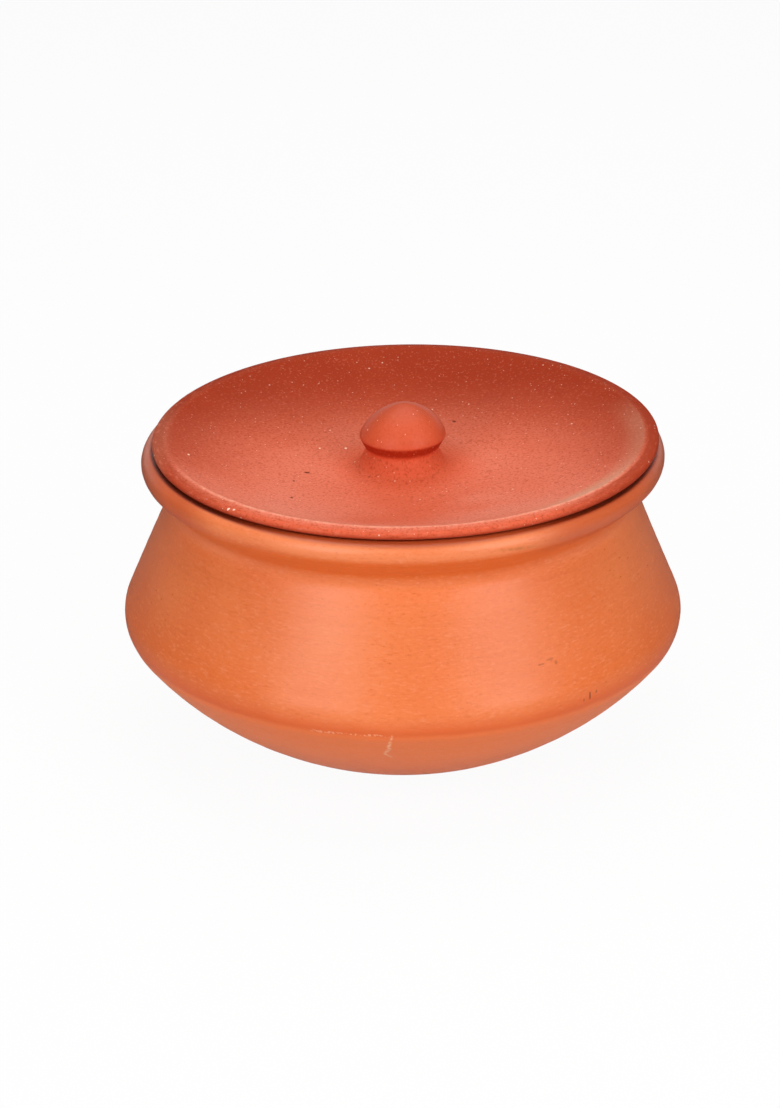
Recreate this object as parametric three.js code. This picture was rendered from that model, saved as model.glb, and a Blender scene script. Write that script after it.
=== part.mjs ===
// Clay curd pot: a wheel-thrown terracotta pot with a separate saucer lid that has its knob thrown in one with it.
// Millimetres, +Z up. The origin is the centre of the flat foot that the pot stands on.
import * as THREE from "three";

// Pot, outside
const FOOT_RADIUS = 49; // flat foot
const FOOT_RISE = 24; // degrees, slope of the bowl where it leaves the foot
const BELLY_RADIUS = 100; // widest girth
const BELLY_HEIGHT = 44.8; // height of the widest girth
const BELLY_ROUND = 12; // radius of the soft shoulder round the girth
const BELLY_RISE = 52.5; // degrees, slope of the bowl where it meets that shoulder
const NECK_RADIUS = 82.9; // narrowest girth under the rim
const NECK_HEIGHT = 89;
const NECK_ROUND = 6.5; // hollow of the neck
const RIM_RADIUS = 92.4; // outside of the rolled rim
const RIM_HEIGHT = 18.3; // crest of the rolled rim above the narrowest girth
const RIM_ROUND = 4.6; // radius of the roll

// Pot, inside
const WALL = 6;
const FLOOR = 7; // thickness of the floor over the foot

// Lid
const SEAT_CLEARANCE = 0.3; // between the lid's seat and the crest it rests on
const SEAT_WRAP = 64; // degrees of the roll, inward from its crest, that the seat follows
const LID_INSET = 2.9; // the lid's edge lies this far inside the outside of the rim
const EDGE_ROUND = 1.4; // nose of the lid's edge
const EDGE_LIFT = 0.2; // rise of the edge's underside from the seat to the nose
const EDGE_WIDTH = 4.8; // flat top of the edge, from the nose in to the arris of the dish
const EDGE_THICKNESS = 3.4; // from the seat up to that arris
const DISH_DEPTH = 13; // from the arris down to the floor of the dish
const LID_WALL = 5.5; // thickness of the lid's floor

// Knob, heights above the floor of the dish
const STEM_FOOT_RADIUS = 21; // where the flared stem runs out into the dish
const WAIST_RADIUS = 12.8;
const WAIST_HEIGHT = 6.8;
const CAP_RADIUS = 15;
const CAP_HEIGHT = 12; // widest ring of the cap
const KNOB_HEIGHT = 23.2;
const KNOB_POINT = 24; // degrees, slope of the cap where it closes at its point

// Smoothness of the turned surfaces
const TURN_STEPS = 64;
const CURVE_STEPS = 4;

const radians = THREE.MathUtils.degToRad;
const QUARTER = Math.PI / 2;

// Direction of the straight run that leaves one round and meets the next. A round is positive where its centre lies
// to the left of the run, and negative where it lies to the right.
function runBetween(centreA, roundA, centreB, roundB) {
  const apart = new THREE.Vector2().subVectors(centreB, centreA);
  return apart.angle() - Math.asin((roundB - roundA) / apart.length());
}

// Smooth curve from the end of the outline to a point, leaving and arriving at the given directions.
function easeTo(outline, leave, point, arrive) {
  const from = outline.currentPoint;
  const reach = from.distanceTo(point) / 3;
  outline.bezierCurveTo(
    from.x + reach * Math.cos(leave),
    from.y + reach * Math.sin(leave),
    point.x - reach * Math.cos(arrive),
    point.y - reach * Math.sin(arrive),
    point.x,
    point.y,
  );
}

// Point on a round at an angle.
function onRound(centre, round, angle) {
  return new THREE.Vector2(
    centre.x + round * Math.cos(angle),
    centre.y + round * Math.sin(angle),
  );
}

// Solid turned about +Z from an outline that starts and ends on the axis.
function turned(name, outline, material) {
  const points = outline.getPoints(CURVE_STEPS);
  const geometry = new THREE.LatheGeometry(points, TURN_STEPS);
  geometry.rotateX(QUARTER);
  const mesh = new THREE.Mesh(geometry, material);
  mesh.name = name;
  return mesh;
}

// Centres of the rounds that shape the pot, as radius and height.
const belly = new THREE.Vector2(BELLY_RADIUS - BELLY_ROUND, BELLY_HEIGHT);
const neck = new THREE.Vector2(NECK_RADIUS + NECK_ROUND, NECK_HEIGHT);
const rim = new THREE.Vector2(RIM_RADIUS - RIM_ROUND, NECK_HEIGHT + RIM_HEIGHT - RIM_ROUND);

// Outline of the pot: foot, bowl, belly, wall, neck and rolled rim, then back down the inside to the floor.
function potOutline() {
  const footRise = radians(FOOT_RISE);
  const bellyRise = radians(BELLY_RISE);
  const wall = runBetween(belly, BELLY_ROUND, neck, -NECK_ROUND);
  const flare = runBetween(neck, -NECK_ROUND, rim, RIM_ROUND);
  const insideNeck = NECK_ROUND + WALL;
  const insideBelly = BELLY_ROUND - WALL;
  const mouth = runBetween(neck, -insideNeck, rim, -RIM_ROUND);

  const outline = new THREE.Path();
  outline.moveTo(0, 0);
  outline.lineTo(FOOT_RADIUS, 0);
  easeTo(outline, footRise, onRound(belly, BELLY_ROUND, bellyRise - QUARTER), bellyRise);
  outline.absarc(belly.x, belly.y, BELLY_ROUND, bellyRise - QUARTER, wall - QUARTER, false);
  outline.absarc(neck.x, neck.y, NECK_ROUND, wall + QUARTER, flare + QUARTER, true);
  outline.absarc(rim.x, rim.y, RIM_ROUND, flare - QUARTER, mouth + QUARTER, false);
  outline.absarc(neck.x, neck.y, insideNeck, mouth + QUARTER, wall + QUARTER, false);
  outline.absarc(belly.x, belly.y, insideBelly, wall - QUARTER, bellyRise - QUARTER, true);
  const floorEdge = new THREE.Vector2(FOOT_RADIUS, FLOOR);
  easeTo(outline, bellyRise + Math.PI, floorEdge, footRise + Math.PI);
  outline.lineTo(0, FLOOR);
  return outline;
}

// Outline of the lid with its knob, with heights from the centre of the rim's roll: underside, seat, edge, dish,
// stem and cap.
function lidOutline() {
  const seat = new THREE.Vector2(rim.x, 0);
  const seatRound = RIM_ROUND + SEAT_CLEARANCE;
  const seatStart = QUARTER + radians(SEAT_WRAP);
  const lidRadius = RIM_RADIUS - LID_INSET;
  const nose = new THREE.Vector2(lidRadius - EDGE_ROUND, seatRound + EDGE_LIFT + EDGE_ROUND);
  const arris = new THREE.Vector2(lidRadius - EDGE_WIDTH, seatRound + EDGE_THICKNESS);
  const edgeUnder = runBetween(seat, -seatRound, nose, EDGE_ROUND);
  const edgeTop = runBetween(nose, EDGE_ROUND, arris, 0);
  const floor = arris.y - DISH_DEPTH;
  const under = floor - LID_WALL;
  const seatFoot = onRound(seat, seatRound, seatStart);

  const outline = new THREE.Path();
  outline.moveTo(0, under);
  outline.lineTo(STEM_FOOT_RADIUS, under);
  outline.quadraticCurveTo((STEM_FOOT_RADIUS + seatFoot.x) / 2, under, seatFoot.x, seatFoot.y);
  outline.absarc(seat.x, seat.y, seatRound, seatStart, edgeUnder + QUARTER, true);
  outline.absarc(nose.x, nose.y, EDGE_ROUND, edgeUnder - QUARTER, edgeTop - QUARTER, false);
  outline.lineTo(arris.x, arris.y);
  outline.quadraticCurveTo((STEM_FOOT_RADIUS + arris.x) / 2, floor, STEM_FOOT_RADIUS, floor);
  outline.quadraticCurveTo(WAIST_RADIUS, floor, WAIST_RADIUS, floor + WAIST_HEIGHT);
  easeTo(outline, QUARTER, new THREE.Vector2(CAP_RADIUS, floor + CAP_HEIGHT), QUARTER);
  easeTo(outline, QUARTER, new THREE.Vector2(0, floor + KNOB_HEIGHT), Math.PI - radians(KNOB_POINT));
  return outline;
}

const burnishedClay = new THREE.MeshStandardMaterial({ color: 0xe8824e, roughness: 0.45, metalness: 0 });
const dustyClay = new THREE.MeshStandardMaterial({ color: 0xcb6244, roughness: 0.85, metalness: 0 });

const curdPot = new THREE.Group();
curdPot.add(turned("pot", potOutline(), burnishedClay));

const lid = turned("lid", lidOutline(), dustyClay);
lid.position.z = rim.y;
curdPot.add(lid);

export default curdPot;
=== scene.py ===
"""Looks of a clay curd pot: a burnished terracotta pot and its dusty saucer lid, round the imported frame.

Lengths are in metres and angles in radians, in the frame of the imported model: +Z is up, and the origin is
the centre of the foot.
"""

import logging
import math
from dataclasses import dataclass, field
from enum import Enum
from types import MappingProxyType
from typing import Any, Mapping, Optional, Union

import bpy
import numpy as np
from mathutils import Euler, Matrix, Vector


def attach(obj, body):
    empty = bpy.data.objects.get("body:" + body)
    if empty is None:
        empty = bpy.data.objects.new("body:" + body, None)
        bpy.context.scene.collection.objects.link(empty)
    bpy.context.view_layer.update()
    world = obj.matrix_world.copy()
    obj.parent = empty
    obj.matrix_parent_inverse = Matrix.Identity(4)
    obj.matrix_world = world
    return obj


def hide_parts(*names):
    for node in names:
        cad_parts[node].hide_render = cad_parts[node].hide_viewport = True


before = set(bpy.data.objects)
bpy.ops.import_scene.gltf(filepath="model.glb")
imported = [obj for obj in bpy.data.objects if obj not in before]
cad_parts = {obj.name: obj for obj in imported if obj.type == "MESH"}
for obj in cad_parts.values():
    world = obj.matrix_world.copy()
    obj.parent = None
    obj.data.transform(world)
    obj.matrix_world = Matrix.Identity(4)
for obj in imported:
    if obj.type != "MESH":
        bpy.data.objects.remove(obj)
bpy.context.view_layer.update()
QUARTER = math.pi / 2
DEGREE = math.pi / 180

Array = np.ndarray
Point = tuple[float, float]
Span = tuple[float, float]
Place = tuple[float, float, float]
Colour = tuple[float, float, float]
Shares = tuple[float, ...]
# A reading's name, its values at a slope's start and end, and what the slope gives there if not 0 and 1
Slope = Union[tuple[str, float, float], tuple[str, float, float, float, float]]
Slopes = tuple[Slope, ...]
Settings = Mapping[Any, Any]
NONE: Settings = MappingProxyType({})

log = logging.getLogger("curd_pot")


class Zone(Enum):
    """The part of a thrown piece that a finish covers; the value is its material slot."""

    SHOWN = 0
    HIDDEN = 1


def tremor(around: Array, waves: range, seed: int) -> Array:
    """Makes an uneven ripple round the wheel from waves that each close on themselves.

    Args:
        around: Angles round the wheel.
        waves: How many times each wave goes up and down in one turn.
        seed: Picks the ripple.

    Returns:
        Heights of the ripple, mostly between -1 and 1.
    """
    rng = np.random.default_rng(seed)
    total = np.zeros_like(around)
    for count in waves:
        total += rng.normal() * np.cos(count * around + rng.uniform(0, 2 * math.pi))
    return total / math.sqrt(len(waves))


def ramp(values: Array, low: float, high: float) -> Array:
    """Rises smoothly from 0 at low to 1 at high."""
    share = np.clip((values - low) / (high - low), 0, 1)
    return share * share * (3 - 2 * share)


@dataclass(frozen=True)
class Round:
    """A round of a profile: its centre, as radius and height, and its size."""

    centre: Point
    size: float

    def at(self, angle: float) -> Point:
        """Gives the point of the round at an angle."""
        return (self.centre[0] + self.size * math.cos(angle), self.centre[1] + self.size * math.sin(angle))

    def run_to(self, other: "Round", left: bool, other_left: bool) -> float:
        """Finds the direction of the straight run that leaves this round and meets another.

        Args:
            other: The round that the run meets.
            left: Whether this round's centre lies to the left of the run.
            other_left: Whether the other round's centre lies to the left of the run.

        Returns:
            The run's direction.
        """
        across = other.centre[0] - self.centre[0]
        up = other.centre[1] - self.centre[1]
        own = self.size if left else -self.size
        theirs = other.size if other_left else -other.size
        return math.atan2(up, across) - math.asin((theirs - own) / math.hypot(across, up))


class Outline:
    """A profile of radius and height, drawn from the axis and back to it in short steps."""

    LEAST_STEPS = 3
    WIDEST_TURN = 14 * DEGREE

    def __init__(self, start: Point, step: float) -> None:
        """Starts the outline at a point, with the longest step that it may take."""
        self.points: list[Point] = [start]
        self.step = step
        self.marks: dict[str, int] = {}

    def mark(self, name: str) -> None:
        """Remembers the place where the outline now is."""
        self.marks[name] = len(self.points) - 1

    def _bend(self, controls: tuple[Point, ...], length: float) -> None:
        """Adds a curve.

        Args:
            controls: Its control points, from where the outline now is to the curve's end.
            length: Its length, or a little more.
        """
        order = len(controls) - 1
        count = max(self.LEAST_STEPS, math.ceil(length / self.step))
        for t in (i / count for i in range(1, count + 1)):
            weights = [math.comb(order, k) * t**k * (1 - t) ** (order - k) for k in range(order + 1)]
            self.points.append(tuple(sum(w * p[i] for w, p in zip(weights, controls)) for i in (0, 1)))

    def line_to(self, end: Point) -> None:
        """Adds a straight run."""
        start = self.points[-1]
        self._bend((start, end), math.dist(start, end))

    def bow_to(self, control: Point, end: Point) -> None:
        """Adds a curve that leaves towards a control point and arrives from it."""
        start = self.points[-1]
        self._bend((start, control, end), math.dist(start, control) + math.dist(control, end))

    def ease_to(self, leave: float, end: Point, arrive: float) -> None:
        """Adds a smooth curve to a point.

        Args:
            leave: Direction in which the curve starts.
            end: The point that it reaches.
            arrive: Direction in which it ends.
        """
        start = self.points[-1]
        reach = math.dist(start, end) / 3
        first = (start[0] + reach * math.cos(leave), start[1] + reach * math.sin(leave))
        second = (end[0] - reach * math.cos(arrive), end[1] - reach * math.sin(arrive))
        self._bend((start, first, second, end), math.dist(start, end))

    def turn(self, about: Round, start: float, end: float) -> None:
        """Goes to a round at one angle and follows it to another."""
        if math.dist(self.points[-1], about.at(start)) > self.step / 4:
            self.line_to(about.at(start))
        fine = min(self.step, about.size * self.WIDEST_TURN)
        count = max(self.LEAST_STEPS, math.ceil(abs(end - start) * about.size / fine))
        self.points.extend(about.at(start + (end - start) * i / count) for i in range(1, count + 1))


@dataclass(frozen=True)
class Throwing:
    """Traces of the potter's hand along an outline."""

    ring_pitch: float
    ring_height: float
    wobble: float
    seed: int
    drift: float = 0.5
    ring_shares: Span = (0.6, 0.4)
    second_pitch: float = 1.73

    def rings(self, along: Array, around: Array) -> Array:
        """Gives the height of the finger rings, which climb the wall in a spiral.

        Args:
            along: Distance along the outline.
            around: Angle round the wheel.

        Returns:
            Offsets from the outline.
        """
        turns = 2 * math.pi * along / self.ring_pitch
        drift = self.drift * tremor(around, range(2, 6), self.seed)
        first, second = self.ring_shares
        rings = first * np.sin(turns - around + drift)
        return self.ring_height * (rings + second * np.sin(self.second_pitch * turns + 2 * around))

    def sway(self, around: Array) -> Array:
        """Gives how far the wall leans out from true round."""
        return self.wobble * tremor(around, range(2, 5), self.seed + 1)


@dataclass
class ThrownPiece:
    """A piece thrown on the wheel: an outline turned about +Z, with the slight unevenness of handwork."""

    name: str
    node: str
    body: str
    slot: str
    sides: int = 240
    step: float = 0.0012

    def outline(self) -> Outline:
        """Draws the piece's outline, which each piece has for itself."""
        raise NotImplementedError

    def handwork(self, outline: Outline, r: Array, z: Array, along: Array, around: Array) -> Array:
        """Works out how far each point of the surface leaves the outline.

        Args:
            outline: The outline, with its marks.
            r: Radius of each point, one row for each point of the outline.
            z: Height of each point.
            along: Distance of each point along the outline.
            around: Angle of each point round the wheel.

        Returns:
            Offsets along the outline's normal.
        """
        raise NotImplementedError

    def settle(self, r: Array, z: Array, around: Array) -> tuple[Array, Array, Array]:
        """Turns radius, height and angle into places, with any lean of the clay."""
        return r * np.cos(around), r * np.sin(around), z

    def build(self) -> bpy.types.Object:
        """Turns the outline into a closed mesh and puts it in the scene.

        Returns:
            The new piece, with no finish yet.
        """
        outline = self.outline()
        profile = np.array(outline.points)
        tangent = np.gradient(profile, axis=0)
        tangent /= np.linalg.norm(tangent, axis=1, keepdims=True)
        steps = np.linalg.norm(np.diff(profile, axis=0), axis=1)
        along = np.concatenate([[0.0], np.cumsum(steps)])
        around = np.arange(self.sides) * (2 * math.pi / self.sides)
        shape = (len(profile), self.sides)
        grid = [np.broadcast_to(column[:, None], shape) for column in (*profile.T, along)]
        angle = np.broadcast_to(around[None, :], shape)
        offset = self.handwork(outline, *grid, angle)
        r = grid[0] + offset * tangent[:, 1:2]
        z = grid[1] - offset * tangent[:, 0:1]
        places = np.stack(self.settle(np.maximum(r, 0), z, angle), axis=-1)
        return self._join(outline, places)

    def _join(self, outline: Outline, places: Array) -> bpy.types.Object:
        """Joins the rings of places into one closed mesh, whose ends meet on the axis.

        Args:
            outline: The outline, whose marks "shown" and "hidden" start and end the shown zone.
            places: Places by point of the outline and by side.

        Returns:
            The new object.
        """
        rings = places[1:-1]
        count, sides = rings.shape[:2]
        tips = np.stack([places[0].mean(axis=0), places[-1].mean(axis=0)])
        vertices = np.concatenate([rings.reshape(-1, 3), tips])
        low = np.arange(count * sides).reshape(count, sides)
        right = np.roll(low, -1, axis=1)
        quads = np.stack([low[:-1], right[:-1], right[1:], low[1:]], axis=-1).reshape(-1, 4)
        first, last = count * sides, count * sides + 1
        faces = [(first, b, a) for a, b in zip(low[0], right[0])]
        faces += quads.tolist()
        faces += [(last, a, b) for a, b in zip(low[-1], right[-1])]
        mesh = bpy.data.meshes.new(self.name)
        mesh.from_pydata(vertices.tolist(), [], [tuple(map(int, f)) for f in faces])
        mesh.polygons.foreach_set("use_smooth", np.ones(len(faces), dtype=bool))
        row = np.repeat(np.arange(count + 1), sides)
        hidden = (row < outline.marks["shown"]) | (row >= outline.marks["hidden"])
        mesh.polygons.foreach_set("material_index", np.where(hidden, Zone.HIDDEN.value, Zone.SHOWN.value))
        mesh.update()
        piece = bpy.data.objects.new(self.name, mesh)
        bpy.context.scene.collection.objects.link(piece)
        return piece

    def dress(self, piece: bpy.types.Object, shown: bpy.types.Material, hidden: bpy.types.Material) -> None:
        """Gives the piece its finishes and fixes it to its body.

        Args:
            piece: The piece from build.
            shown: Finish of the zone that shows when the pot is closed and stands.
            hidden: Finish of the rest.
        """
        piece.data.materials.append(shown)
        piece.data.materials.append(hidden)
        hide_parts(self.node)
        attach(piece, self.body)
        log.info("%s: %d faces on body %s", piece.name, len(piece.data.polygons), self.body)


@dataclass
class Pot(ThrownPiece):
    """The pot: flat foot, bowl, belly, sloping wall, drawn-in neck and rolled rim."""

    name: str = "burnished_pot"
    node: str = "pot"
    body: str = "pot"
    slot: str = "burnished_terracotta"
    foot_radius: float = 0.049
    foot_rise: float = 24 * DEGREE
    foot_soft: float = 0.0016
    belly_radius: float = 0.100
    belly_height: float = 0.0448
    belly_round: float = 0.012
    belly_rise: float = 52.5 * DEGREE
    neck_radius: float = 0.0829
    neck_height: float = 0.089
    neck_round: float = 0.0065
    rim_radius: float = 0.0924
    rim_height: float = 0.0183
    rim_round: float = 0.0046
    wall: float = 0.006
    floor: float = 0.007
    lean: float = 0.75 * DEGREE
    lean_span: Span = (0.066, 0.098)
    outside_rows: Span = (-12, 0)
    inside_rows: Span = (0, 24)
    axis_span: Span = (0.004, 0.02)
    foot_span: Span = (0.002, 0.012)
    outside: Throwing = Throwing(0.0062, 0.00004, 0.00016, 3)
    inside: Throwing = Throwing(0.0084, 0.00030, 0.00016, 3)

    @property
    def rim(self) -> Round:
        """The roll of the rim."""
        crest = self.neck_height + self.rim_height
        return Round((self.rim_radius - self.rim_round, crest - self.rim_round), self.rim_round)

    def outline(self) -> Outline:
        """Draws the foot, bowl, belly, wall, neck and rim, then the inside down to the floor.

        Returns:
            The outline, marked where the shown outside starts and ends.
        """
        belly = Round((self.belly_radius - self.belly_round, self.belly_height), self.belly_round)
        neck = Round((self.neck_radius + self.neck_round, self.neck_height), self.neck_round)
        wall = belly.run_to(neck, True, False)
        flare = neck.run_to(self.rim, False, True)
        inner_neck = Round(neck.centre, self.neck_round + self.wall)
        inner_belly = Round(belly.centre, self.belly_round - self.wall)
        mouth = inner_neck.run_to(self.rim, False, False)
        soft = self.foot_soft
        leave = (self.foot_radius + soft * math.cos(self.foot_rise), soft * math.sin(self.foot_rise))

        line = Outline((0.0, 0.0), self.step)
        line.line_to((self.foot_radius - soft, 0.0))
        line.mark("shown")
        line.bow_to((self.foot_radius, 0.0), leave)
        line.ease_to(self.foot_rise, belly.at(self.belly_rise - QUARTER), self.belly_rise)
        line.turn(belly, self.belly_rise - QUARTER, wall - QUARTER)
        line.turn(neck, wall + QUARTER, flare + QUARTER)
        line.turn(self.rim, flare - QUARTER, mouth + QUARTER)
        line.mark("hidden")
        line.turn(inner_neck, mouth + QUARTER, wall + QUARTER)
        line.turn(inner_belly, wall - QUARTER, self.belly_rise - QUARTER)
        line.ease_to(self.belly_rise + math.pi, (self.foot_radius, self.floor), self.foot_rise + math.pi)
        line.line_to((0.0, self.floor))
        return line

    def handwork(self, outline: Outline, r: Array, z: Array, along: Array, around: Array) -> Array:
        """Gives fine rings outside, finger rings inside and a little sway of the wall; see ThrownPiece."""
        row = np.arange(len(r))[:, None] - outline.marks["hidden"]
        within = ramp(row, *self.inside_rows) * ramp(r, *self.axis_span)
        clear = ramp(z, *self.foot_span)
        fine = self.outside.rings(along, around) * (1 - ramp(row, *self.outside_rows)) * clear
        sway = clear * (1 - 2 * within) * self.outside.sway(around)
        return fine + within * self.inside.rings(along, around) + sway

    def settle(self, r: Array, z: Array, around: Array) -> tuple[Array, Array, Array]:
        """Lets the rim lean, while the foot and belly stay level; see ThrownPiece."""
        x, y, z = super().settle(r, z, around)
        return x, y, z + x * math.tan(self.lean) * ramp(z, *self.lean_span)


@dataclass
class Lid(ThrownPiece):
    """The saucer lid with its knob, drawn with heights from the centre of the rim's roll."""

    name: str = "saucer_lid"
    node: str = "lid"
    body: str = "lid"
    slot: str = "dusty_terracotta"
    step: float = 0.0009
    rim: Round = field(kw_only=True)
    seat_clearance: float = 0.0003
    seat_play: float = 0.0014
    seat_wrap: float = 64 * DEGREE
    radius: float = 0.0895
    edge_round: float = 0.0012
    edge_lift: float = 0.0005
    edge_width: float = 0.0048
    edge_thickness: float = 0.0036
    arris_soft: float = 0.0005
    dish_depth: float = 0.013
    floor_wall: float = 0.0055
    stem_foot_radius: float = 0.021
    stem_rise: float = 117 * DEGREE
    stem_fillet: float = 0.0026
    waist_radius: float = 0.0129
    waist_height: float = 0.0066
    waist_round: float = 0.0016
    cap_radius: float = 0.0153
    cap_height: float = 0.0117
    lip_round: float = 0.0010
    dome_rise: float = 108 * DEGREE
    knob_height: float = 0.0235
    knob_point: float = 8 * DEGREE
    knob_shift: float = -0.0012
    knob_lean: float = 0.0010
    shift: float = 0.00105
    lean: float = 0.78 * DEGREE
    knob_span: Span = (0.024, 0.015)
    knob_soft: float = 0.001
    dish: Throwing = Throwing(0.0055, 0.00004, 0.00012, 11)
    dish_span: Span = (0.012, 0.03)
    arris_rows: float = 3.0
    fine_wear: float = 0.00007
    broad_wear: float = 0.00012
    wear_seed: int = 21

    def outline(self) -> Outline:
        """Draws the underside, seat, edge, dish, stem and cap.

        Returns:
            The outline, marked where the shown top starts and ends.
        """
        seat = Round((self.rim.centre[0] - self.seat_play, 0.0), self.rim.size + self.seat_clearance)
        seat_start = QUARTER + self.seat_wrap
        nose_height = seat.size + self.edge_lift + self.edge_round
        nose = Round((self.radius - self.edge_round, nose_height), self.edge_round)
        arris = (self.radius - self.edge_width, seat.size + self.edge_thickness)
        edge_under = seat.run_to(nose, False, True)
        edge_top = nose.run_to(Round(arris, 0.0), True, True)
        floor = arris[1] - self.dish_depth
        under = floor - self.floor_wall
        foot = self.stem_foot_radius
        seat_foot = seat.at(seat_start)
        soft = Round(arris, self.arris_soft)
        middle = ((foot + arris[0]) / 2, floor)
        fall = math.atan2(middle[1] - arris[1], middle[0] - arris[0])

        waist = Round((self.waist_radius + self.waist_round, floor + self.waist_height), self.waist_round)
        lip = Round((self.cap_radius - self.lip_round, floor + self.cap_height), self.lip_round)
        overhang = waist.run_to(lip, False, True)
        stem_top = waist.at(self.stem_rise + QUARTER)
        stem_foot = (stem_top[0] - (stem_top[1] - floor) / math.tan(self.stem_rise), floor)
        stem_low = Round(stem_foot, self.stem_fillet).at(self.stem_rise)

        line = Outline((0.0, under), self.step)
        line.line_to((foot, under))
        line.bow_to(((foot + seat_foot[0]) / 2, under), seat_foot)
        line.turn(seat, seat_start, edge_under + QUARTER)
        line.turn(nose, edge_under - QUARTER, -QUARTER / 2)
        line.mark("shown")
        line.turn(nose, -QUARTER / 2, edge_top - QUARTER)
        line.line_to(soft.at(edge_top + math.pi))
        line.bow_to(arris, soft.at(fall))
        line.mark("arris")
        line.bow_to(middle, (foot, floor))
        line.bow_to(stem_foot, stem_low)
        line.line_to(stem_top)
        line.turn(waist, self.stem_rise + QUARTER, overhang + QUARTER)
        line.turn(lip, overhang - QUARTER, self.dome_rise - QUARTER)
        line.ease_to(self.dome_rise, (0.0, floor + self.knob_height), math.pi - self.knob_point)
        line.mark("hidden")
        return line

    @property
    def dish_floor(self) -> float:
        """Height of the floor of the dish above the foot of the pot."""
        arris = self.rim.size + self.seat_clearance + self.edge_thickness
        return self.rim.centre[1] + arris - self.dish_depth

    def handwork(self, outline: Outline, r: Array, z: Array, along: Array, around: Array) -> Array:
        """Gives fine rings in the dish and a worn, uneven arris; see ThrownPiece."""
        row = np.arange(len(r))[:, None] - outline.marks["arris"]
        near_arris = np.exp(-((row / self.arris_rows) ** 2))
        wear = self.fine_wear * tremor(around, range(9, 60), self.wear_seed)
        wear += self.broad_wear * tremor(around, range(2, 7), self.wear_seed + 1)
        return ramp(r, *self.dish_span) * self.dish.rings(along, around) + near_arris * wear

    def settle(self, r: Array, z: Array, around: Array) -> tuple[Array, Array, Array]:
        """Lifts the lid to the rim and lets the knob stand a little askew; see ThrownPiece."""
        x, y, z = super().settle(r, z + self.rim.centre[1], around)
        floor = self.dish_floor
        knob = ramp(z, floor - self.knob_soft, floor + self.knob_soft) * ramp(r, *self.knob_span)
        tip = ramp(z, floor + self.waist_height, floor + self.knob_height)
        return x + knob * (self.knob_shift + self.knob_lean * tip), y, z

    def build(self) -> bpy.types.Object:
        """Builds the lid and lays it on the rim a little off centre, with the rim's lean."""
        piece = super().build()
        pivot = Vector((0, 0, self.rim.centre[1] + self.rim.size))
        turn = Euler((0, -self.lean, 0))
        piece.rotation_euler = turn
        piece.location = pivot - turn.to_matrix() @ pivot + Vector((self.shift, 0, 0))
        return piece


class Reading:
    """A value that varies over a surface: an output socket, whose operators add Math nodes."""

    def __init__(self, nodes: "Nodes", socket: bpy.types.NodeSocket) -> None:
        """Wraps an output socket of a node tree."""
        self.nodes = nodes
        self.socket = socket

    def _math(self, operation: str, *values: "Level") -> "Reading":
        """Adds a Math node over the given values."""
        return self.nodes.read("ShaderNodeMath", {"operation": operation}, dict(enumerate(values)))

    def __add__(self, other: "Level") -> "Reading":
        """Adds."""
        return self._math("ADD", self, other)

    def __radd__(self, other: "Level") -> "Reading":
        """Adds."""
        return self._math("ADD", other, self)

    def __sub__(self, other: "Level") -> "Reading":
        """Subtracts."""
        return self._math("SUBTRACT", self, other)

    def __rsub__(self, other: "Level") -> "Reading":
        """Subtracts from a number."""
        return self._math("SUBTRACT", other, self)

    def __mul__(self, other: "Level") -> "Reading":
        """Multiplies."""
        return self._math("MULTIPLY", self, other)

    def __rmul__(self, other: "Level") -> "Reading":
        """Multiplies."""
        return self._math("MULTIPLY", other, self)

    def __truediv__(self, other: "Level") -> "Reading":
        """Divides."""
        return self._math("DIVIDE", self, other)

    def __rtruediv__(self, other: "Level") -> "Reading":
        """Divides a number."""
        return self._math("DIVIDE", other, self)

    def __abs__(self) -> "Reading":
        """Drops the sign."""
        return self._math("ABSOLUTE", self)

    def at_least(self, other: "Level") -> "Reading":
        """Takes the higher of two values."""
        return self._math("MAXIMUM", self, other)

    def rise(self, low: "Level", high: "Level") -> "Reading":
        """Gives a mask that rises smoothly from 0 at low to 1 at high.

        Args:
            low: Value below which the mask is 0.
            high: Value above which it is 1.

        Returns:
            The mask.
        """
        inputs = {"Value": self, "From Min": low, "From Max": high}
        return self.nodes.read("ShaderNodeMapRange", {"interpolation_type": "SMOOTHSTEP"}, inputs)

    def fall(self, low: "Level", high: "Level") -> "Reading":
        """Gives a mask that falls smoothly from 1 at low to 0 at high."""
        return 1 - self.rise(low, high)

    def spread(self, low: float, high: float) -> "Reading":
        """Gives low where a mask is 0 and high where it is 1."""
        return low + (high - low) * self


Level = Union[Reading, float]


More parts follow.
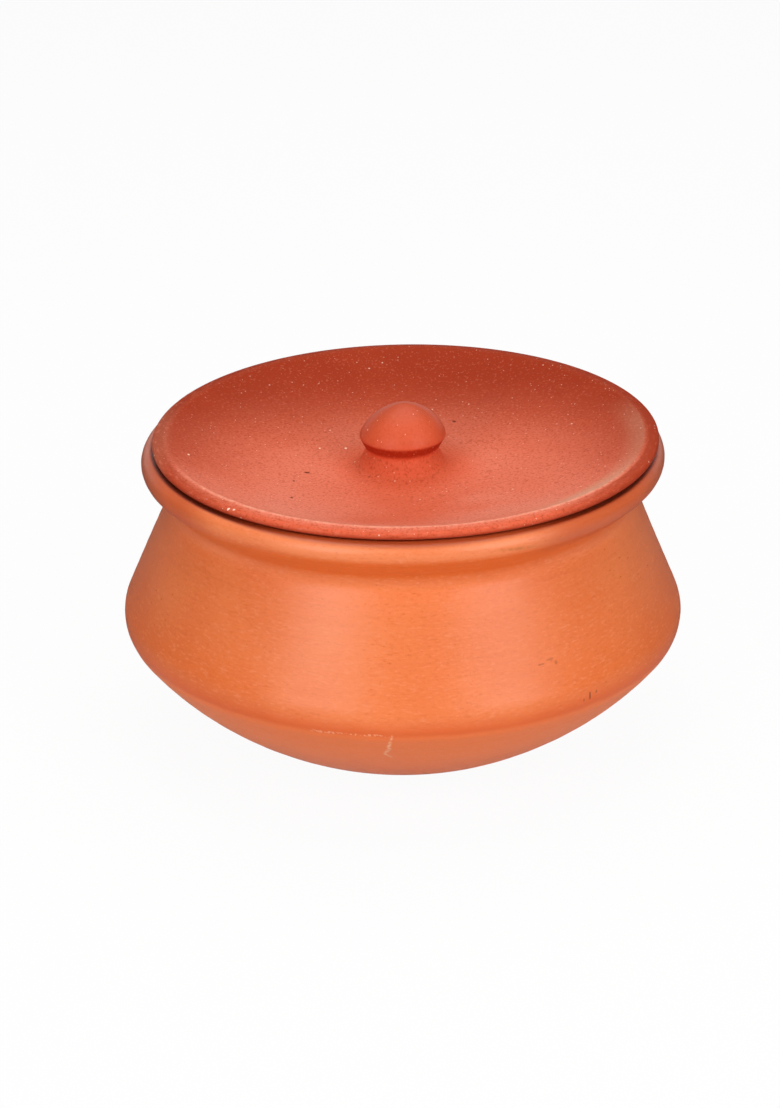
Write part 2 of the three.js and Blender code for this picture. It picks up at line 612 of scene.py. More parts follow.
class Nodes:
    """A node tree being wired."""

    def __init__(self, tree: bpy.types.NodeTree) -> None:
        """Takes the tree of a material or of the world."""
        self.tree = tree

    def node(self, kind: str, settings: Settings = NONE, inputs: Settings = NONE) -> bpy.types.Node:
        """Adds a node.

        Args:
            kind: Type of the node.
            settings: Its settings, which are set first.
            inputs: Values or readings of its sockets, by name, identifier or number.

        Returns:
            The node.
        """
        node = self.tree.nodes.new(kind)
        for key, value in settings.items():
            setattr(node, key, value)
        by_identifier = {socket.identifier: socket for socket in node.inputs}
        for key, value in inputs.items():
            self.feed(by_identifier[key] if key in by_identifier else node.inputs[key], value)
        return node

    def feed(self, socket: bpy.types.NodeSocket, value: Any) -> None:
        """Links a reading to an input socket, or sets the socket to a number, vector or colour."""
        if isinstance(value, Reading):
            self.tree.links.new(value.socket, socket)
        elif socket.type == "RGBA":
            socket.default_value = (*value, 1.0)
        else:
            socket.default_value = value

    def read(
        self, kind: str, settings: Settings = NONE, inputs: Settings = NONE, output: Any = 0
    ) -> Reading:
        """Adds a node and gives one of its outputs as a reading; see node."""
        return Reading(self, self.node(kind, settings, inputs).outputs[output])

    def split(self, vector: Reading) -> tuple[Reading, Reading, Reading]:
        """Gives the three parts of a vector reading."""
        parts = self.node("ShaderNodeSeparateXYZ", inputs={0: vector})
        return tuple(Reading(self, socket) for socket in parts.outputs)

    def vector(self, operation: str, *values: Any, output: Any = 0) -> Reading:
        """Adds a Vector Math node over readings and vectors."""
        return self.read("ShaderNodeVectorMath", {"operation": operation}, dict(enumerate(values)), output)

    def blend(self, share: Level, first: Any, second: Any, label: str = "") -> Reading:
        """Mixes two colours.

        Args:
            share: How much of the second colour there is.
            first: Colour or reading where the share is 0.
            second: Colour or reading where the share is 1.
            label: What the node is for.

        Returns:
            The mixed colour.
        """
        inputs = {"Factor_Float": share, "A_Color": first, "B_Color": second}
        return self.read("ShaderNodeMix", {"data_type": "RGBA", "label": label}, inputs, 2)


@dataclass(frozen=True)
class Grain:
    """A noise in the clay: the size of its grains, and how many finer layers it has."""

    size: float
    detail: float = 2.0


@dataclass(frozen=True)
class WheelLines:
    """Fine lines round the wheel: pitch, length as a share of the radius, and number of finer layers."""

    pitch: float
    run: float
    detail: float = 3.0


@dataclass(frozen=True)
class Specks:
    """Scattered specks: spacing of their places, largest radius, share of places with one, and strength."""

    cell: float
    size: float
    share: float
    strength: float = 1.0
    core: float = 0.4
    least: float = 1e-4
    soft: float = 0.02


@dataclass(frozen=True)
class Mark:
    """A small mark on a piece: its place, its half sizes, how uneven its edge is and how strong it is."""

    centre: Place
    size: Place
    ragged: float = 0.4
    strength: float = 1.0
    fade: Span = (0.55, 1.0)
    edge: Grain = Grain(0.0013, 3.0)


@dataclass(frozen=True)
class Coat:
    """A colour laid over a finish, as thick as a share times slopes and times other named readings."""

    label: str
    colour: Colour
    share: float
    slopes: Slopes = ()
    times: tuple[str, ...] = ()


class Recipe(Nodes):
    """A clay finish being mixed: its material, and its readings by name."""

    def __init__(self, name: str) -> None:
        """Starts a material with a Principled shader, read in the piece's own coordinates."""
        self.material = bpy.data.materials.new(name)
        self.material.use_nodes = True
        super().__init__(self.material.node_tree)
        self.shader = self.tree.nodes["Principled BSDF"]
        self.place = self.read("ShaderNodeTexCoord", output="Object")
        self.x, self.y, self.z = self.split(self.place)
        self.flat = self.vector("MULTIPLY", self.place, (1.0, 1.0, 0.0))
        self.radius = self.vector("LENGTH", self.flat, output="Value")
        self.bearing = self.vector("NORMALIZE", self.flat)
        self.named = {"x": self.x, "y": self.y, "z": self.z, "side": abs(self.x), "radius": self.radius}

    def slope(self, name: str, zero: float, one: float, low: float = 0.0, high: float = 1.0) -> Reading:
        """Reads a slope that goes smoothly from low to high between two values of a named reading."""
        mask = self.named[name].rise(zero, one) if zero < one else self.named[name].fall(one, zero)
        return mask if (low, high) == (0.0, 1.0) else mask.spread(low, high)

    def mask(self, *slopes: Slope) -> Reading:
        """Reads the product of slopes."""
        return math.prod(self.slope(*slope) for slope in slopes)

    def away(self, place: Reading, centre: Place) -> Reading:
        """Reads the distance between a place and a centre."""
        return self.vector("DISTANCE", place, centre, output="Value")

    def noise(self, grain: Grain, place: Optional[Reading] = None) -> Reading:
        """Reads a noise.

        Args:
            grain: The noise, with its size in metres, or in the units of the place that is given.
            place: Where it is read; the piece's own coordinates if not given.

        Returns:
            Values round 0.5.
        """
        inputs = {"Vector": place or self.place, "Scale": 1 / grain.size, "Detail": grain.detail}
        return self.read("ShaderNodeTexNoise", inputs=inputs)

    def swing(self, grain: Grain) -> Reading:
        """Reads a noise with values round 0."""
        return self.noise(grain) - 0.5

    def wheel_lines(self, lines: WheelLines) -> Reading:
        """Reads fine lines that run round the wheel, up the wall or out along the dish.

        Args:
            lines: The lines.

        Returns:
            Values round 0.5.
        """
        upward = self.read("ShaderNodeCombineXYZ", inputs={2: self.z / lines.pitch})
        about = self.vector("MULTIPLY", self.bearing, (1 / lines.run, 1 / lines.run, 0.0))
        inputs = {"Vector": self.vector("ADD", upward, about), "W": self.radius / lines.pitch}
        inputs |= {"Detail": lines.detail, "Scale": 1.0}
        return self.read("ShaderNodeTexNoise", {"noise_dimensions": "4D"}, inputs)

    def specks(self, specks: Specks) -> Reading:
        """Reads a mask of scattered specks.

        Args:
            specks: How they are scattered.

        Returns:
            The mask.
        """
        cells = self.node("ShaderNodeTexVoronoi", inputs={"Vector": self.place, "Scale": 1 / specks.cell})
        near = Reading(self, cells.outputs["Distance"])
        chance, *_ = self.split(Reading(self, cells.outputs["Color"]))
        size = chance.fall(0.0, specks.share) * (specks.size / specks.cell)
        shape = near.fall(size * specks.core, size + specks.least)
        return shape * chance.fall(specks.share - specks.soft, specks.share) * specks.strength

    def spot(self, mark: Mark) -> Reading:
        """Reads a mask of one mark on the surface, with an uneven edge."""
        stretched = self.vector("DIVIDE", self.vector("SUBTRACT", self.place, mark.centre), mark.size)
        away = self.vector("LENGTH", stretched, output="Value")
        uneven = self.swing(mark.edge) * (2 * mark.ragged)
        return (away + uneven).fall(*mark.fade) * mark.strength

    def lay(self, colour: Any, coats: tuple[Coat, ...]) -> Reading:
        """Lays coats over a colour, one after another.

        Args:
            colour: The colour or reading underneath.
            coats: The coats, in order.

        Returns:
            The new colour.
        """
        for coat in coats:
            factors = [self.slope(*slope) for slope in coat.slopes]
            factors += [self.named[name] for name in coat.times]
            colour = self.blend(math.prod(factors, start=coat.share), colour, coat.colour, coat.label)
        return colour

    def dot(self, colour: Reading, dots: Colour, marks: tuple[Mark, ...]) -> Reading:
        """Lays marks of one colour over another colour."""
        for mark in marks:
            colour = self.blend(self.spot(mark), colour, dots)
        return colour

    @staticmethod
    def total(shares: Shares, *readings: Reading) -> Reading:
        """Adds readings up, each times its share."""
        return sum(share * reading for share, reading in zip(shares, readings))

    def finish(
        self, colour: Reading, rough: Reading, relief: Reading, depth: float, gloss: float
    ) -> bpy.types.Material:
        """Feeds the shader and closes the recipe.

        Args:
            colour: Base colour.
            rough: Roughness.
            relief: Height of the fine relief, from 0 to 1.
            depth: Depth of the relief.
            gloss: Strength of the mirrored light, for which 0.5 is common.

        Returns:
            The finished material.
        """
        bump = self.read("ShaderNodeBump", inputs={"Height": relief, "Distance": depth, "Strength": 1.0})
        sockets = self.shader.inputs
        self.feed(sockets["Base Color"], colour)
        self.feed(sockets["Roughness"], rough)
        self.feed(sockets["Normal"], bump)
        self.feed(sockets["Specular IOR Level"], gloss)
        return self.material


# Clays that are laid over others in more than one place; SIDE_SHADE is painted shade
SIDE_SHADE: Colour = (0.52, 0.066, 0.015)
RUDDY: Colour = (0.77, 0.132, 0.016)
BRIGHT: Colour = (0.90, 0.270, 0.110)
ORANGE: Colour = (0.83, 0.186, 0.050)
LINE: Colour = (0.62, 0.105, 0.030)
DEEP_RED: Colour = (0.33, 0.029, 0.004)
DARK_RED: Colour = (0.36, 0.024, 0.004)
DUST: Colour = (0.81, 0.228, 0.140)
POWDER: Colour = (0.66, 0.36, 0.23)
GRIT: Colour = (0.95, 0.66, 0.50)


@dataclass(frozen=True)
class BurnishedClay:
    """Outside of the pot: orange clay rubbed to a satin sheen over wheel lines, matte under the belly."""

    name: str = "burnished_terracotta"
    pale: Colour = (0.88, 0.222, 0.066)
    bowl: Colour = (0.88, 0.190, 0.043)
    scuff: Colour = (0.27, 0.036, 0.008)
    cloud: Grain = Grain(0.035, 3.0)
    cloud_span: Span = (0.3, 0.7)
    grain: Grain = Grain(0.0010)
    thrown: WheelLines = WheelLines(0.0016, 0.30)
    rubbed: WheelLines = WheelLines(0.0007, 0.022, 1.5)
    wall_coats: tuple[Coat, ...] = (
        Coat("clouds", ORANGE, 1.0, (), ("cloud",)),
        # Painted shade: the pot's wall is laid darker towards its left and right sides
        Coat("painted shade on the sides", SIDE_SHADE, 0.42, (("side", 0.068, 0.100),)),
        # Painted shade: the band under the rim's roll is laid in deeper, redder clay
        Coat("painted shade under the rim", RUDDY, 0.90, (("z", 0.0870, 0.0938), ("z", 0.1024, 0.0998))),
        Coat("ruddy flanks", RUDDY, 0.40, (("z", 0.068, 0.048), ("side", 0.028, 0.056))),
        # Painted highlight: the rim's crest is laid in paler clay
        Coat("painted highlight on the rim's crest", BRIGHT, 0.35, (("z", 0.1012, 0.1034),)),
        Coat("thrown lines", LINE, 0.18, (("thrown", 0.50, 0.85),)),
        Coat("rubbed lines", BRIGHT, 0.58, (("rubbed", 0.50, 0.78),), ("over",)),
        Coat("missed lines", LINE, 0.30, (("rubbed", 0.46, 0.22),)),
        # Painted shade: the rim is laid darker towards its left and right ends
        Coat("painted shade at the rim's right end", SIDE_SHADE, 0.66, (("x", 0.036, 0.060), ("z", 0.0955, 0.0985))),
        Coat("painted shade at the rim's left end", SIDE_SHADE, 0.66, (("x", -0.060, -0.076), ("z", 0.0955, 0.0985))),
        Coat("painted shade at the rim's ends", (0.34, 0.085, 0.040), 0.55, (("side", 0.080, 0.0935), ("z", 0.094, 0.100))),
        # Painted shadow: the rim's crest under the lid's edge is laid dark red, and nearly black at the
        # sides
        Coat(
            "painted shadow at the seat",
            (0.36, 0.032, 0.002),
            1.0,
            (("z", 0.100, 0.104), ("stain", 1.0, 0.0), ("side", 0.03, 0.07, 0.75, 1.0)),
        ),
        Coat(
            "painted shadow under the lid's edge",
            (0.05, 0.008, 0.003),
            0.85,
            (
                ("z", 0.100, 0.104),
                ("seat", -0.0020, -0.0012),
                ("seat", 0.0005, -0.0003),
                ("side", 0.03, 0.07),
            ),
        ),
        Coat("dark grain", LINE, 0.25, (("grain", 0.55, 0.80),)),
        Coat("band over the limit", (0.76, 0.110, 0.012), 0.80, (("height", 0.0072, 0.0),)),
    )
    bowl_coats: tuple[Coat, ...] = (
        Coat("grain of the bowl", ORANGE, 1.0, (("grain", 0.40, 0.80),)),
        # Painted light: the lower bowl, which gets less light, is laid in brighter clay
        Coat("painted light on the low bowl", (0.95, 0.228, 0.062), 0.80, (("z", 0.040, 0.024),)),
    )
    slip_coat: Coat = Coat("slip", (0.95, 0.45, 0.25), 1.0, (("y", -0.03, -0.05),), ("slip",))
    scratch_coat: Coat = Coat(
        "scratch",
        (0.50, 0.125, 0.018),
        0.65,
        (
            ("scratch", 0.10484, 0.10594),
            ("scratch", 0.10704, 0.10594),
            ("scratch breaks", 0.15, 0.60),
            ("x", 0.029, 0.037),
            ("x", 0.047, 0.039),
            ("y", -0.05, -0.06),
        ),
    )
    scratch_fall: float = 0.0815
    scratch_breaks: Grain = Grain(0.002)
    # The uneven limit of the rubbed clay, over the matte bowl
    limit: float = 0.0408
    limit_sway: Grain = Grain(0.012)
    sway_height: float = 0.0018
    under: Slope = ("height", 0.0008, -0.0016)
    # Where the lid's edge lies on the rim, a little off centre, and how wide the painted shadow under it is
    seat_centre: Place = (0.00105, 0.0, 0.0)
    seat_radius: float = 0.0899
    seat_inset: Slope = ("x", 0.0, 0.05, 0.0, 0.0010)
    seat_shadow_width: Slope = ("side", 0.03, 0.07, 0.0018, 0.0010)
    # Beads of slip along the limit, and one run that wanders down from it
    bead_grain: Grain = Grain(0.0011, 1.0)
    beads: Slopes = (
        ("beads", 0.52, 0.62),
        ("height", -0.0009, 0.0),
        ("height", 0.0009, 0.0),
        ("x", -0.035, -0.027),
        ("x", -0.001, -0.009, 0.0, 0.7),
    )
    wander: Grain = Grain(0.0080, 1.0)
    wander_width: float = 0.008
    run_breaks: Grain = Grain(0.0014)
    run: Slopes = (
        ("wander", -0.0048, -0.0040),
        ("wander", -0.0032, -0.0040),
        ("z", 0.0265, 0.0285),
        ("z", 0.0418, 0.0398),
        ("run breaks", 0.30, 0.55),
    )
    # Roughness of plain clay and what rubbed lines, clouds and bowl add; relief of both lines and the grain
    rough: float = 0.34
    rough_added: Shares = (0.30, 0.05, 0.08)
    relief: Shares = (0.35, 0.40, 0.25)
    depth: float = 0.00018
    gloss: float = 0.42
    scuffs: tuple[Mark, ...] = (
        Mark((0.0470, -0.0823, 0.0594), (0.0016, 0.0016, 0.0004), 0.8, 0.45),
        Mark((0.0500, -0.0805, 0.0603), (0.0018, 0.0018, 0.0005), 1.0, 0.32),
        Mark((0.0519, -0.0796, 0.0589), (0.0007, 0.0007, 0.0012), 0.8, 0.35),
        Mark((0.0640, -0.0768, 0.0449), (0.0006, 0.0006, 0.0020), 0.5, 0.75),
        Mark((0.0662, -0.0750, 0.0456), (0.0006, 0.0006, 0.0008), 0.5, 0.60),
        Mark((0.0618, -0.0786, 0.0440), (0.0005, 0.0005, 0.0009), 0.5, 0.50),
        Mark((0.0872, -0.0006, 0.0775), (0.0007, 0.0007, 0.0006), 0.3, 0.70),
        Mark((-0.0705, 0.0560, 0.0620), (0.0009, 0.0009, 0.0014), 0.5, 0.50),
        Mark((0.0100, 0.0930, 0.0580), (0.0022, 0.0022, 0.0005), 0.5, 0.45),
    )

    def material(self) -> bpy.types.Material:
        """Mixes the finish.

        Returns:
            The material.
        """
        mix = Recipe(self.name)
        named = mix.named
        cloud = named["cloud"] = mix.noise(self.cloud).rise(*self.cloud_span)
        thrown = named["thrown"] = mix.wheel_lines(self.thrown)
        rubbed = named["rubbed"] = mix.wheel_lines(self.rubbed)
        grain = named["grain"] = mix.noise(self.grain)
        named["height"] = mix.z + mix.swing(self.limit_sway) * self.sway_height - self.limit
        under = mix.slope(*self.under)
        named["over"] = 1 - under
        seat = mix.away(mix.flat, self.seat_centre) - self.seat_radius + mix.slope(*self.seat_inset)
        named["seat"] = seat
        named["stain"] = seat / mix.slope(*self.seat_shadow_width)
        named["beads"] = mix.noise(self.bead_grain)
        named["wander"] = mix.x + mix.swing(self.wander) * self.wander_width
        named["run breaks"] = mix.noise(self.run_breaks)
        named["slip"] = mix.mask(*self.beads).at_least(mix.mask(*self.run))
        named["scratch"] = mix.z + mix.x * self.scratch_fall
        named["scratch breaks"] = mix.noise(self.scratch_breaks)
        wall = mix.lay(self.pale, self.wall_coats)
        colour = mix.lay(mix.blend(under, wall, mix.lay(self.bowl, self.bowl_coats)), (self.slip_coat,))
        colour = mix.lay(mix.dot(colour, self.scuff, self.scuffs), (self.scratch_coat,))
        rough = self.rough + mix.total(self.rough_added, rubbed - 0.5, cloud, under)
        relief = mix.total(self.relief, thrown, rubbed, grain)
        return mix.finish(colour, rough, relief, self.depth, self.gloss)


@dataclass(frozen=True)
class DustyClay:
    """Top of the lid: red matte clay with painted shade, darker at the back, under dust with a painted
    sheen, pale grit and a chalky arris.
    """

    name: str = "dusty_terracotta"
    clean: Colour = (0.77, 0.128, 0.053)
    cloud: Grain = Grain(0.026, 3.0)
    cloud_depth: float = 0.25
    grain: Grain = Grain(0.0009)
    chalk: Grain = Grain(0.0022, 4.0)
    thrown: WheelLines = WheelLines(0.0013, 0.25)
    streaks: WheelLines = WheelLines(0.0010, 0.040, 2.0)
    fine_grit: Specks = Specks(0.0014, 0.00031, 0.34, 0.75)
    coarse_grit: Specks = Specks(0.0046, 0.00052, 0.45, 0.82)
    pit_specks: Specks = Specks(0.015, 0.00045, 0.30)
    coats: tuple[Coat, ...] = (
        # Painted shade of the dish and knob, with random clouds, laid as deep red
        Coat("painted shade and clouds", DEEP_RED, 1.0, (), ("deep",)),
        # Dust with a painted sheen
        Coat("dust", DUST, 1.0, (), ("dust",)),
        # Painted shade: a dark band under the knob's lip
        Coat("waist", (0.40, 0.030, 0.006), 1.0, (("z", 0.1048, 0.1070), ("z", 0.1102, 0.1088)), ("knob",)),
        Coat("thrown lines", DEEP_RED, 0.08, (("thrown", 0.52, 0.85),)),
        Coat("dark grain", DARK_RED, 0.38, (("grain", 0.48, 0.32),), ("dark",)),
        Coat("pale grain", DUST, 0.22, (("grain", 0.56, 0.72),), ("pale",)),
        Coat("deep streaks", DEEP_RED, 0.30, (("streaks", 0.52, 0.72),), ("edge",)),
        Coat("dusty streaks", DUST, 0.40, (("streaks", 0.46, 0.30),), ("edge",)),
        # Painted shade: the lid's edge is darkened, more towards both ends
        Coat("darkened edge with painted shade at its ends", DEEP_RED, 1.0, (), ("edge", "worn")),
        # Painted shade: the foot of the lid's edge, over the gap to the rim, is laid dark red
        Coat("painted shade at the foot of the edge", DARK_RED, 0.85, (("z", 0.1106, 0.1080),), ("edge",)),
        Coat(
            "right powder",
            POWDER,
            1.0,
            (
                ("radius", 0.0745, 0.0835),
                ("radius", 0.0852, 0.0838),
                ("x", 0.038, 0.062),
                ("y", 0.035, 0.005),
                ("y", -0.020, -0.055, 0.25, 0.65),
            ),
            ("powdery",),
        ),
        Coat("left powder", POWDER, 0.13, (("radius", 0.080, 0.085), ("x", -0.0800, -0.0875)), ("powdery",)),
        Coat(
            "chalky arris",
            (0.92, 0.42, 0.28),
            0.70,
            (
                ("radius", 0.0834, 0.0847),
                ("radius", 0.0860, 0.0847),
                ("chalk", 0.25, 0.65),
                ("y", -0.025, -0.065, 0.05, 1.0),
            ),
        ),
        Coat("grit", GRIT, 0.80, (), ("grit",)),
    )
    pit_coat: Coat = Coat("pits", (0.14, 0.016, 0.005), 0.90, (), ("pits",))
    # Painted shade, laid as deeper red: up the wall of the dish, on its floor and at its ends, most at the
    # back
    wall: Slope = ("radius", 0.022, 0.091)
    wall_back: Slope = ("y", -0.041, 0.030)
    floor_back: Slope = ("y", 0.0, 0.090, 0.19, 1.14)
    ends: Slopes = (("side", 0.042, 0.088, 0.0, 0.54), ("y", 0.026, -0.025))
    # The knob: painted shade, slight on its stem and darker towards the back and top of its dome, and fewer
    # grains on its dome
    knob_centre: Place = (-0.0011, 0.0, 0.0)
    knob_reach: Span = (0.0150, 0.0168)
    lip: Slope = ("z", 0.1091, 0.1103)
    stem_shade: float = 0.12
    dome_shade: Slope = ("y", -0.0135, 0.0030, 0.10, 0.44)
    dome_dark: Span = (1.0, 0.4)
    dome_pale: Span = (1.0, 0.5)
    # Dust in the dish with a painted sheen, thicker to the front, with less of both in a patch before the
    # knob, where the knob blocks the sheen
    dish: Slopes = (("radius", 0.014, 0.030), ("radius", 0.0885, 0.0846))
    dust_and_sheen_front: Slope = ("y", -0.02, -0.06, 0.70, 1.0)
    dust_uneven: Shares = (0.9, 0.8)
    patch_wander: float = 0.045
    patch: Slopes = (
        ("patch", -0.036, 0.0),
        ("patch", 0.036, 0.0),
        ("y", -0.088, -0.064),
        ("y", 0.0, -0.024),
    )
    patch_dust: Span = (1.0, 0.15)
    powder_grain: Span = (0.6, 1.4)
    # The flat edge, darkened a little all round, with painted shade at both ends and more at the right one
    edge: Slope = ("radius", 0.0852, 0.0862)
    worn: float = 0.07
    edge_shade_ends: Slopes = (("side", 0.040, 0.086, 0.0, 0.26), ("x", 0.045, 0.080, 0.0, 0.30))
    # Roughness of plain clay and what grain, dust with its painted sheen, and dome add; relief of lines,
    # grain, grit and pits
    rough: float = 0.72
    rough_added: Shares = (0.2, 0.1, -0.30)
    relief: Shares = (0.3, 0.4, 0.3, -1.0)
    depth: float = 0.00012
    gloss: float = 0.15
    pits: tuple[Mark, ...] = (
        Mark((-0.0349, -0.0080, 0.0988), (0.0013, 0.0009, 0.0010)),
        Mark((-0.0392, -0.0176, 0.0997), (0.0005, 0.0008, 0.0010)),
        Mark((-0.0393, -0.0369, 0.1015), (0.0006, 0.0010, 0.0012)),
        Mark((0.0177, 0.0371, 0.0995), (0.0009, 0.0009, 0.0010)),
        Mark((-0.0129, -0.0122, 0.0984), (0.0010, 0.0006, 0.0010), 0.5, 0.6),
        Mark((-0.0050, -0.0134, 0.1005), (0.0009, 0.0006, 0.0008), 1.2, 0.4),
        Mark((-0.0090, 0.0660, 0.1036), (0.0005, 0.0009, 0.0010)),
    )
    grains: tuple[Mark, ...] = (
        Mark((-0.0594, -0.0661, 0.1104), (0.0008, 0.0006, 0.0010), 0.6),
        Mark((-0.0575, -0.0672, 0.1104), (0.0006, 0.0006, 0.0010), 0.6),
        Mark((-0.0830, -0.0370, 0.1105), (0.0006, 0.0008, 0.0010), 0.6),
        Mark((-0.0216, 0.0155, 0.0983), (0.0005, 0.0008, 0.0010), 0.5),
        Mark((-0.0309, 0.0146, 0.0987), (0.0004, 0.0007, 0.0010), 0.5),
        Mark((-0.0760, -0.0126, 0.1083), (0.0005, 0.0008, 0.0010), 0.5),
    )

    def _painted_shade(self, mix: Recipe, knob: Reading, dome: Reading) -> Reading:
        """Reads the painted shade, laid as deeper red, before clouds.

        Args:
            mix: The finish.
            knob: Mask of the knob.
            dome: Mask of the knob's dome.

        Returns:
            The share of the deep red.
        """
        wall = mix.slope(*self.wall)
        dish = wall * mix.slope(*self.wall_back) + (1 - wall) * mix.slope(*self.floor_back)
        cap = self.stem_shade + dome * mix.slope(*self.dome_shade)
        return (dish + mix.mask(*self.ends)) * (1 - knob) + cap * knob

    def material(self) -> bpy.types.Material:
        """Mixes the finish.

        Returns:
            The material.
        """
        mix = Recipe(self.name)
        named = mix.named
        cloud = mix.swing(self.cloud)
        lines = named["thrown"] = mix.wheel_lines(self.thrown)
        grain = named["grain"] = mix.noise(self.grain)
        named["chalk"] = mix.noise(self.chalk)
        named["streaks"] = mix.wheel_lines(self.streaks)
        knob = named["knob"] = mix.away(mix.flat, self.knob_centre).fall(*self.knob_reach)
        dome = knob * mix.slope(*self.lip)
        named["dark"] = dome.spread(*self.dome_dark)
        named["pale"] = dome.spread(*self.dome_pale)
        # Painted shade of the dish and knob, with random clouds, sets the share of deep red
        depth = self._painted_shade(mix, knob, dome)
        named["deep"] = depth + self.cloud_depth * cloud
        # Dust with a painted sheen: thicker to the front, thinner in the patch before the knob and where the
        # painted shade is deep
        named["patch"] = mix.x + self.patch_wander * cloud
        dust = mix.slope(*self.dust_and_sheen_front) + mix.total(self.dust_uneven, cloud, grain - 0.5)
        dust = dust * mix.mask(*self.patch).spread(*self.patch_dust) * mix.mask(*self.dish) * (1 - depth)
        named["dust"] = dust
        named["powdery"] = grain.spread(*self.powder_grain)
        # Darkening of the edge, with painted shade at its ends
        named["edge"] = mix.slope(*self.edge)
        named["worn"] = sum((mix.slope(*end) for end in self.edge_shade_ends), start=self.worn)
        grit = named["grit"] = mix.specks(self.fine_grit).at_least(mix.specks(self.coarse_grit))
        pits = mix.specks(self.pit_specks)
        for mark in self.pits:
            pits = pits.at_least(mix.spot(mark))
        named["pits"] = pits
        colour = mix.dot(mix.lay(self.clean, self.coats), GRIT, self.grains)
        colour = mix.lay(colour, (self.pit_coat,))
        rough = self.rough + mix.total(self.rough_added, grain - 0.5, dust, dome)
        relief = mix.total(self.relief, lines, grain, grit, pits)
        return mix.finish(colour, rough, relief, self.depth, self.gloss)


@dataclass(frozen=True)
class RawClay:
    """Inside of the pot, foot and underside of the lid: plain clay, as the wheel and the wire left it."""

    name: str = "raw_terracotta"
    pale: Colour = (0.72, 0.175, 0.066)
    deep: Colour = (0.58, 0.122, 0.043)
    line_share: float = 0.35
    line_span: Span = (0.5, 0.8)
    cloud: Grain = Grain(0.018, 5.0)
    cloud_span: Span = (0.25, 0.75)
    grain: Grain = Grain(0.0007, 3.0)
    thrown: WheelLines = WheelLines(0.0016, 0.5)
    foot: Slope = ("z", 0.0012, 0.0004)
    wire: Grain = Grain(1.0, 3.0)
    wire_from: Place = (0.030, 0.085, 0.0)
    wire_pitch: float = 0.0028
    rough: float = 0.8
    rough_grain: float = 0.2
    relief: Shares = (0.6, 0.4)
    depth: float = 0.00015
    gloss: float = 0.4

    def material(self) -> bpy.types.Material:
        """Mixes the finish.

        Returns:
            The material.
        """
        mix = Recipe(self.name)
        cloud = mix.noise(self.cloud).rise(*self.cloud_span)
        grain = mix.noise(self.grain)
        foot = mix.slope(*self.foot)
        drawn = mix.away(mix.place, self.wire_from) / self.wire_pitch
        wire = mix.noise(self.wire, mix.read("ShaderNodeCombineXYZ", inputs={0: drawn}))
        lines = mix.wheel_lines(self.thrown) * (1 - foot) + wire * foot
        colour = mix.blend(cloud, self.pale, self.deep)
        colour = mix.blend(lines.rise(*self.line_span) * self.line_share, colour, self.deep)
        rough = self.rough + self.rough_grain * (grain - 0.5)
        return mix.finish(colour, rough, mix.total(self.relief, lines, grain), self.depth, self.gloss)


@dataclass(frozen=True)
class Softbox:
    """A soft lamp that faces the pot from an azimuth, counted from the camera's side, and a height angle."""

    name: str
    azimuth: float
    elevation: float
    wide: float
    high: float
    power: float
    away: float = 1.1

    def hang(self, target: Vector) -> None:
        """Puts the lamp in the scene, turned to the target."""
        lamp = bpy.data.lights.new(self.name, "AREA")
        lamp.shape = "RECTANGLE"
        lamp.size, lamp.size_y = self.wide, self.high
        lamp.energy = self.power
        holder = bpy.data.objects.new(self.name, lamp)
        level = math.cos(self.elevation)
        across, front = math.sin(self.azimuth) * level, -math.cos(self.azimuth) * level
        toward = Vector((across, front, math.sin(self.elevation)))
        holder.location = target + toward * self.away
        holder.rotation_euler = toward.to_track_quat("Z", "Y").to_euler()
        bpy.context.scene.collection.objects.link(holder)
        log.info("%s: %.1f W", self.name, self.power)


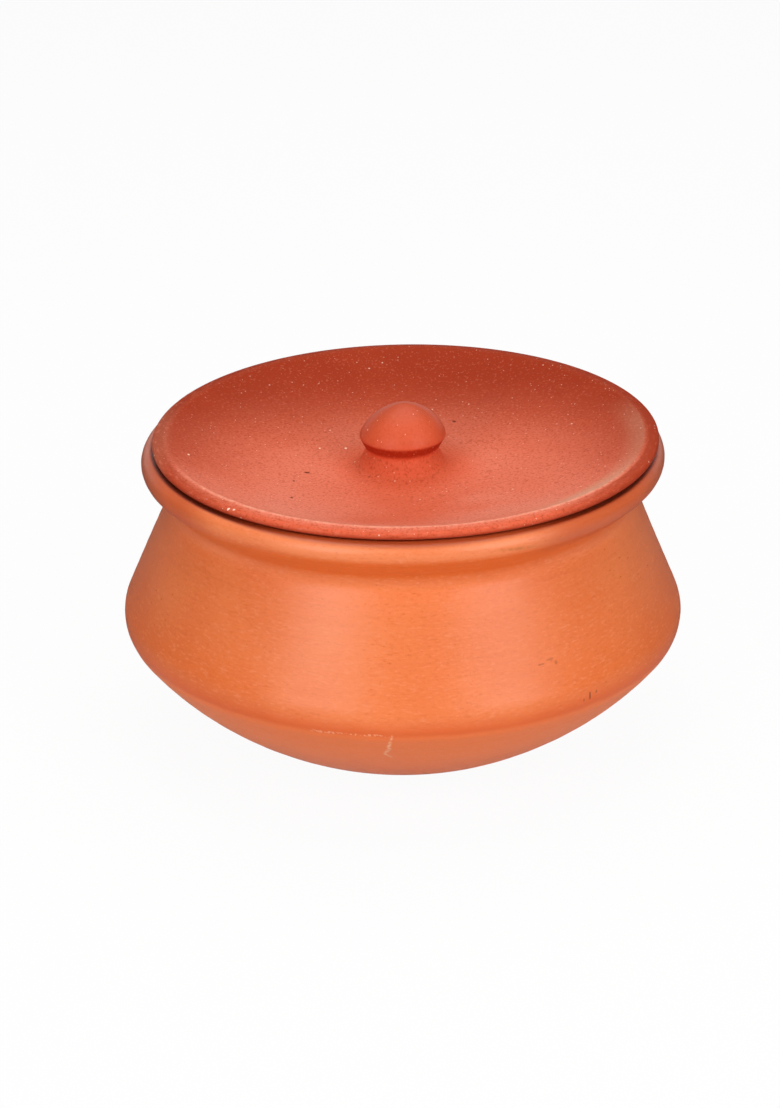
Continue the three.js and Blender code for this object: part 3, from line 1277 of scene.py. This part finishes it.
@dataclass
class Studio:
    """White table and surroundings, soft lamps and the camera."""

    target: Vector = field(default_factory=lambda: Vector((0, 0, 0.0631)))
    lamps: tuple[Softbox, ...] = (
        Softbox("left_front_softbox", -34 * DEGREE, 28 * DEGREE, 0.58, 0.9, 6.0),
        Softbox("right_front_softbox", 42 * DEGREE, 28 * DEGREE, 0.58, 0.9, 6.3),
        Softbox("overhead_softbox", 180 * DEGREE, 76 * DEGREE, 1.1, 1.0, 9.4),
    )
    ambient: float = 0.05
    mirrored: Span = (0.03, 0.9)
    mirrored_back: Span = (0.45, 0.85)
    mirrored_up: Span = (0.20, 0.50)
    floor_glow: float = 0.95
    floor_colour: Colour = (0.80, 0.80, 0.80)
    table_mirrored: Span = (0.40, 0.15)
    table_back: Span = (-0.06, 0.10)
    floor_half: float = 3.0
    floor_drop: float = 0.0002
    camera_away: float = 1.1946
    camera_elevation: float = 24.13 * DEGREE
    lens: float = 108.0
    sensor: float = 36.0
    shift_x: float = -0.0113
    shift_y: float = 0.0005

    def build(self) -> None:
        """Sets up the surroundings, the table, the lamps and the camera."""
        self._surround()
        self._lay_table()
        for lamp in self.lamps:
            lamp.hang(self.target)
        self._place_camera()
        bpy.context.scene.view_settings.view_transform = "Standard"

    @staticmethod
    def _rays(nodes: Nodes) -> tuple[Reading, Reading]:
        """Reads which rays come from the camera, and which from a mirrored or clear surface."""
        path = nodes.node("ShaderNodeLightPath")
        names = ("Is Camera Ray", "Is Glossy Ray", "Is Transmission Ray")
        camera, glossy, clear = (Reading(nodes, path.outputs[name]) for name in names)
        return camera, glossy.at_least(clear)

    def _surround(self) -> None:
        """Makes surroundings that look white and are mirrored pale behind the pot, dim elsewhere."""
        world = bpy.data.worlds.new("white_surroundings")
        world.use_nodes = True
        nodes = Nodes(world.node_tree)
        camera, mirrored = self._rays(nodes)
        _, back, up = nodes.split(nodes.read("ShaderNodeTexCoord", output="Generated"))
        behind = back.rise(*self.mirrored_back) * up.fall(*self.mirrored_up)
        seen = behind.spread(*self.mirrored)
        strength = self.ambient + mirrored * (seen - self.ambient)
        sockets = nodes.tree.nodes["Background"].inputs
        nodes.feed(sockets["Color"], (1.0, 1.0, 1.0))
        nodes.feed(sockets["Strength"], strength.at_least(camera))
        bpy.context.scene.world = world

    def _lay_table(self) -> None:
        """Lays the pale table, which looks white and keeps a faint shadow of the pot."""
        half = self.floor_half
        mesh = bpy.data.meshes.new("table")
        low = -self.floor_drop
        corners = [(-half, -half, low), (half, -half, low), (half, half, low), (-half, half, low)]
        mesh.from_pydata(corners, [], [(0, 1, 2, 3)])
        table = bpy.data.objects.new("table", mesh)
        bpy.context.scene.collection.objects.link(table)
        mesh.materials.append(self._table_finish())

    def _table_finish(self) -> bpy.types.Material:
        """Mixes the pale table's finish, with a glow for rays that see it directly or mirrored.

        Returns:
            The material.
        """
        material = bpy.data.materials.new("white_table")
        material.use_nodes = True
        nodes = Nodes(material.node_tree)
        camera, mirrored = self._rays(nodes)
        matte = nodes.read("ShaderNodeBsdfDiffuse", inputs={"Color": self.floor_colour})
        _, back, _ = nodes.split(nodes.read("ShaderNodeTexCoord", output="Object"))
        mirror = back.rise(*self.table_back).spread(*self.table_mirrored)
        level = mirror + camera * (1 - mirror)
        glow = nodes.read("ShaderNodeEmission", inputs={"Color": (1.0, 1.0, 1.0), "Strength": level})
        share = (camera * self.floor_glow).at_least(mirrored)
        surface = nodes.read("ShaderNodeMixShader", inputs={0: share, 1: matte, 2: glow})
        nodes.feed(nodes.tree.nodes["Material Output"].inputs["Surface"], surface)
        return material

    def _place_camera(self) -> None:
        """Puts the camera where the photograph was taken from."""
        camera = bpy.data.cameras.new("camera")
        camera.lens = self.lens
        camera.sensor_width = self.sensor
        camera.shift_x, camera.shift_y = self.shift_x, self.shift_y
        holder = bpy.data.objects.new("camera", camera)
        back = Vector((0, -math.cos(self.camera_elevation), math.sin(self.camera_elevation)))
        holder.location = self.target + back * self.camera_away
        holder.rotation_euler = back.to_track_quat("Z", "Y").to_euler()
        bpy.context.scene.collection.objects.link(holder)
        bpy.context.scene.camera = holder


def main() -> None:
    """Builds the studio, the pot and the lid."""
    logging.basicConfig(level=logging.INFO, format="%(name)s %(message)s")
    Studio().build()
    raw = RawClay().material()
    pot = Pot()
    pot.dress(pot.build(), BurnishedClay().material(), raw)
    lid = Lid(rim=pot.rim)
    lid.dress(lid.build(), DustyClay().material(), raw)


if __name__ == "__main__":
    main()
